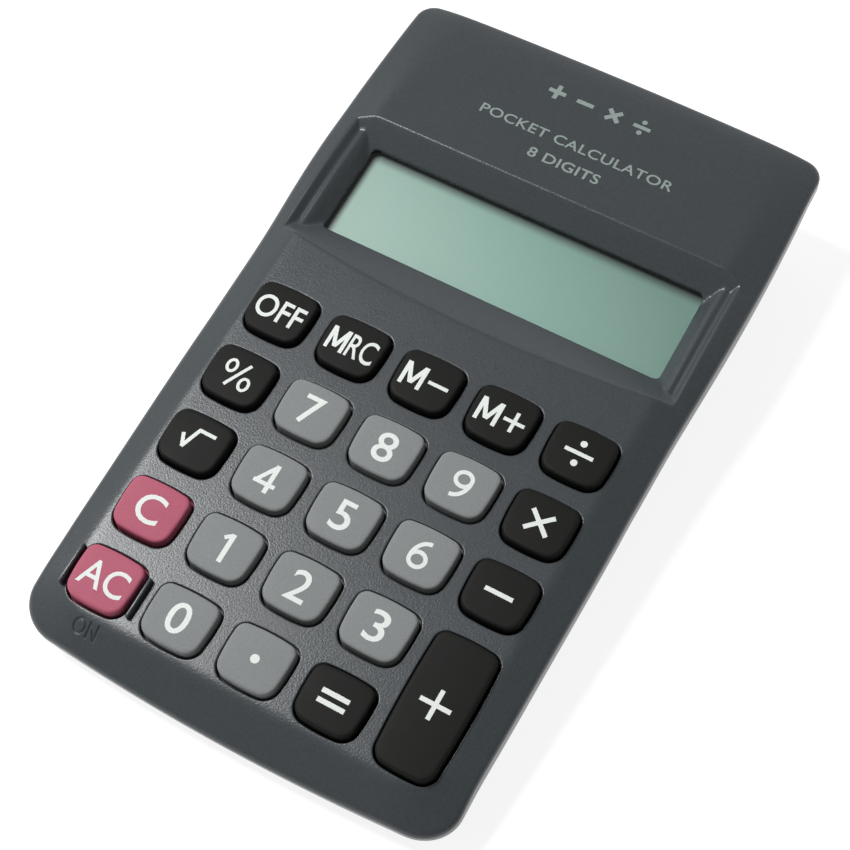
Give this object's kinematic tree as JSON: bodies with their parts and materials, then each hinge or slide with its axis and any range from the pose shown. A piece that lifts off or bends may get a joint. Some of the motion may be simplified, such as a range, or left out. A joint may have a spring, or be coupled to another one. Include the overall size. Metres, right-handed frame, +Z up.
{
  "type": "pocket calculator",
  "caption": "Pocket calculator with a sloping deck, sprung rubber-mat keys, recessed liquid-crystal display, two-shell case and a sliding battery cover.",
  "frame": {"origin": "centre of the bounding box at the level of the underside, on the plane that the calculator rests on", "axes": "+X across the keys to the right, +Y towards the display end, +Z up"},
  "size_m": [0.0698, 0.1178, 0.018],
  "materials": {
    "case": "fine moulded grain, dark blue-grey",
    "grey_key": "satin, fine moulded grain",
    "black_key": "satin, fine moulded grain",
    "red_key": "satin, fine moulded grain",
    "clear_pane": "clear moulded pane",
    "display_face": "anti-glare film, pale green-grey",
    "display_glass": "thin float glass",
    "display_reflector": "satin reflector film",
    "ribbon": "flexible printed film",
    "silicone": "moulded silicone, translucent grey",
    "carbon": "conductive carbon rubber",
    "board": "phenolic board with tinned tracks",
    "resin": "black encapsulating resin",
    "component_can": "drawn aluminium can",
    "component_body": "fired ceramic body",
    "cell_jacket": "printed sleeve over a steel can",
    "spring_steel": "nickel-plated spring steel",
    "red_insulation": "soft insulation",
    "black_insulation": "soft insulation",
    "screw_steel": "zinc-plated steel"
  },
  "bodies": {
    "case": {"front_case": "case", "rear_case": "case", "display_window": "clear_pane", "lcd_polariser": "display_face", "lcd_front_glass": "display_glass", "lcd_rear_glass": "display_glass", "lcd_reflector": "display_reflector", "lcd_ribbon": "ribbon", "key_mat": "silicone", "contact_pills": "carbon", "circuit_board": "board", "chip_cover": "resin", "capacitors": "component_can", "resistors": "component_body", "battery_cell": "cell_jacket", "positive_contact": "spring_steel", "negative_contact": "spring_steel", "contact_spring": "spring_steel", "red_wire": "red_insulation", "black_wire": "black_insulation", "board_screws": "screw_steel", "case_screws": "screw_steel"},
    "key_off": {"key_off": "black_key"},
    "key_mrc": {"key_mrc": "black_key"},
    "key_m_minus": {"key_m_minus": "black_key"},
    "key_m_plus": {"key_m_plus": "black_key"},
    "key_divide": {"key_divide": "black_key"},
    "key_percent": {"key_percent": "black_key"},
    "key_7": {"key_7": "grey_key"},
    "key_8": {"key_8": "grey_key"},
    "key_9": {"key_9": "grey_key"},
    "key_multiply": {"key_multiply": "black_key"},
    "key_root": {"key_root": "black_key"},
    "key_4": {"key_4": "grey_key"},
    "key_5": {"key_5": "grey_key"},
    "key_6": {"key_6": "grey_key"},
    "key_minus": {"key_minus": "black_key"},
    "key_clear": {"key_clear": "red_key"},
    "key_1": {"key_1": "grey_key"},
    "key_2": {"key_2": "grey_key"},
    "key_3": {"key_3": "grey_key"},
    "key_all_clear": {"key_all_clear": "red_key"},
    "key_0": {"key_0": "grey_key"},
    "key_point": {"key_point": "grey_key"},
    "key_equals": {"key_equals": "black_key"},
    "key_plus": {"key_plus": "black_key"},
    "battery_cover": {"battery_cover": "case"}
  },
  "joints": [
    {"name": "key_off_press", "type": "slide", "parent": "case", "child": "key_off", "axis": [0, -0.1045, 0.9945], "range_m": [-0.001, 0], "stiffness_N_per_m": 900, "springref_m": 0.0003},
    {"name": "key_mrc_press", "type": "slide", "parent": "case", "child": "key_mrc", "axis": [0, -0.1045, 0.9945], "range_m": [-0.001, 0], "stiffness_N_per_m": 900, "springref_m": 0.0003},
    {"name": "key_m_minus_press", "type": "slide", "parent": "case", "child": "key_m_minus", "axis": [0, -0.1045, 0.9945], "range_m": [-0.001, 0], "stiffness_N_per_m": 900, "springref_m": 0.0003},
    {"name": "key_m_plus_press", "type": "slide", "parent": "case", "child": "key_m_plus", "axis": [0, -0.1045, 0.9945], "range_m": [-0.001, 0], "stiffness_N_per_m": 900, "springref_m": 0.0003},
    {"name": "key_divide_press", "type": "slide", "parent": "case", "child": "key_divide", "axis": [0, -0.1045, 0.9945], "range_m": [-0.001, 0], "stiffness_N_per_m": 900, "springref_m": 0.0003},
    {"name": "key_percent_press", "type": "slide", "parent": "case", "child": "key_percent", "axis": [0, -0.1045, 0.9945], "range_m": [-0.001, 0], "stiffness_N_per_m": 900, "springref_m": 0.0003},
    {"name": "key_7_press", "type": "slide", "parent": "case", "child": "key_7", "axis": [0, -0.1045, 0.9945], "range_m": [-0.001, 0], "stiffness_N_per_m": 900, "springref_m": 0.0003},
    {"name": "key_8_press", "type": "slide", "parent": "case", "child": "key_8", "axis": [0, -0.1045, 0.9945], "range_m": [-0.001, 0], "stiffness_N_per_m": 900, "springref_m": 0.0003},
    {"name": "key_9_press", "type": "slide", "parent": "case", "child": "key_9", "axis": [0, -0.1045, 0.9945], "range_m": [-0.001, 0], "stiffness_N_per_m": 900, "springref_m": 0.0003},
    {"name": "key_multiply_press", "type": "slide", "parent": "case", "child": "key_multiply", "axis": [0, -0.1045, 0.9945], "range_m": [-0.001, 0], "stiffness_N_per_m": 900, "springref_m": 0.0003},
    {"name": "key_root_press", "type": "slide", "parent": "case", "child": "key_root", "axis": [0, -0.1045, 0.9945], "range_m": [-0.001, 0], "stiffness_N_per_m": 900, "springref_m": 0.0003},
    {"name": "key_4_press", "type": "slide", "parent": "case", "child": "key_4", "axis": [0, -0.1045, 0.9945], "range_m": [-0.001, 0], "stiffness_N_per_m": 900, "springref_m": 0.0003},
    {"name": "key_5_press", "type": "slide", "parent": "case", "child": "key_5", "axis": [0, -0.1045, 0.9945], "range_m": [-0.001, 0], "stiffness_N_per_m": 900, "springref_m": 0.0003},
    {"name": "key_6_press", "type": "slide", "parent": "case", "child": "key_6", "axis": [0, -0.1045, 0.9945], "range_m": [-0.001, 0], "stiffness_N_per_m": 900, "springref_m": 0.0003},
    {"name": "key_minus_press", "type": "slide", "parent": "case", "child": "key_minus", "axis": [0, -0.1045, 0.9945], "range_m": [-0.001, 0], "stiffness_N_per_m": 900, "springref_m": 0.0003},
    {"name": "key_clear_press", "type": "slide", "parent": "case", "child": "key_clear", "axis": [0, -0.1045, 0.9945], "range_m": [-0.001, 0], "stiffness_N_per_m": 900, "springref_m": 0.0003},
    {"name": "key_1_press", "type": "slide", "parent": "case", "child": "key_1", "axis": [0, -0.1045, 0.9945], "range_m": [-0.001, 0], "stiffness_N_per_m": 900, "springref_m": 0.0003},
    {"name": "key_2_press", "type": "slide", "parent": "case", "child": "key_2", "axis": [0, -0.1045, 0.9945], "range_m": [-0.001, 0], "stiffness_N_per_m": 900, "springref_m": 0.0003},
    {"name": "key_3_press", "type": "slide", "parent": "case", "child": "key_3", "axis": [0, -0.1045, 0.9945], "range_m": [-0.001, 0], "stiffness_N_per_m": 900, "springref_m": 0.0003},
    {"name": "key_all_clear_press", "type": "slide", "parent": "case", "child": "key_all_clear", "axis": [0, -0.1045, 0.9945], "range_m": [-0.001, 0], "stiffness_N_per_m": 900, "springref_m": 0.0003},
    {"name": "key_0_press", "type": "slide", "parent": "case", "child": "key_0", "axis": [0, -0.1045, 0.9945], "range_m": [-0.001, 0], "stiffness_N_per_m": 900, "springref_m": 0.0003},
    {"name": "key_point_press", "type": "slide", "parent": "case", "child": "key_point", "axis": [0, -0.1045, 0.9945], "range_m": [-0.001, 0], "stiffness_N_per_m": 900, "springref_m": 0.0003},
    {"name": "key_equals_press", "type": "slide", "parent": "case", "child": "key_equals", "axis": [0, -0.1045, 0.9945], "range_m": [-0.001, 0], "stiffness_N_per_m": 900, "springref_m": 0.0003},
    {"name": "key_plus_press", "type": "slide", "parent": "case", "child": "key_plus", "axis": [0, -0.1045, 0.9945], "range_m": [-0.001, 0], "stiffness_N_per_m": 1100, "springref_m": 0.0003},
    {"name": "battery_cover_slide", "type": "slide", "parent": "case", "child": "battery_cover", "axis": [0, 1, 0], "range_m": [0, 0.022]}
  ]
}
